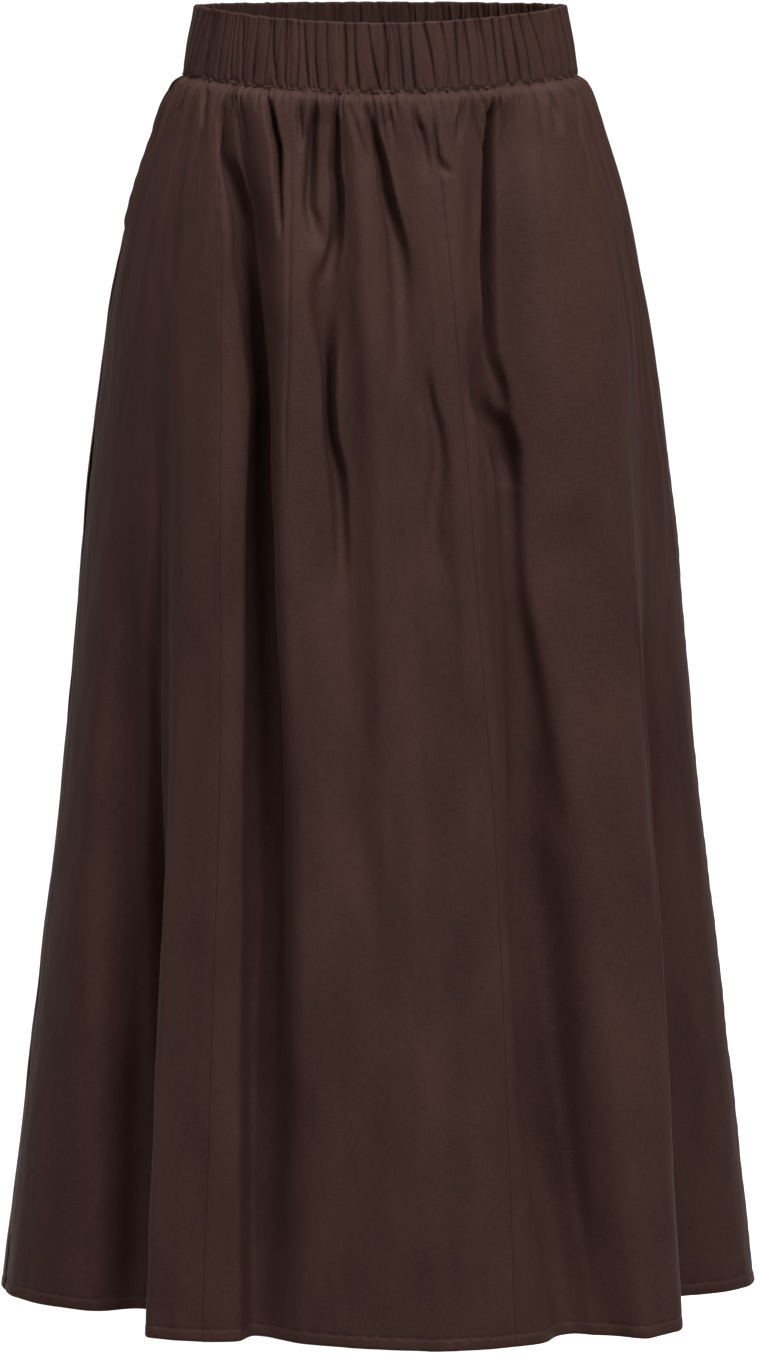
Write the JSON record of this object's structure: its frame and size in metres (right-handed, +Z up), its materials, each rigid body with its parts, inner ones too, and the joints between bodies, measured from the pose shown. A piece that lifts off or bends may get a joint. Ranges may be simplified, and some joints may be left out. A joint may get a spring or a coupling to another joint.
{
  "type": "maxi skirt",
  "caption": "Long flared skirt with a wide elasticated waistband, gathers that open into deep folds, side pockets and a turned hem, filled out as worn.",
  "frame": {"origin": "centre of the waist opening, level with the top of the waistband at the sides, where the wearer holds the skirt up", "axes": "+Z up out of the waist opening, -Y towards the front, +X towards the wearer's left side, which is the right side of the picture"},
  "size_m": [0.5334, 0.3766, 0.9],
  "materials": {
    "poplin": "crisp dark brown cotton plain weave with a faint sheen",
    "pocketing": "thin dark brown cotton plain weave, matt"
  },
  "bodies": {
    "root": {"waistband_front": "poplin", "waistband_back": "poplin", "front_side_left": "poplin", "front_centre": "poplin", "front_side_right": "poplin", "back_panel": "poplin", "pocket_bag_left": "pocketing", "pocket_bag_right": "pocketing"}
  },
  "joints": []
}
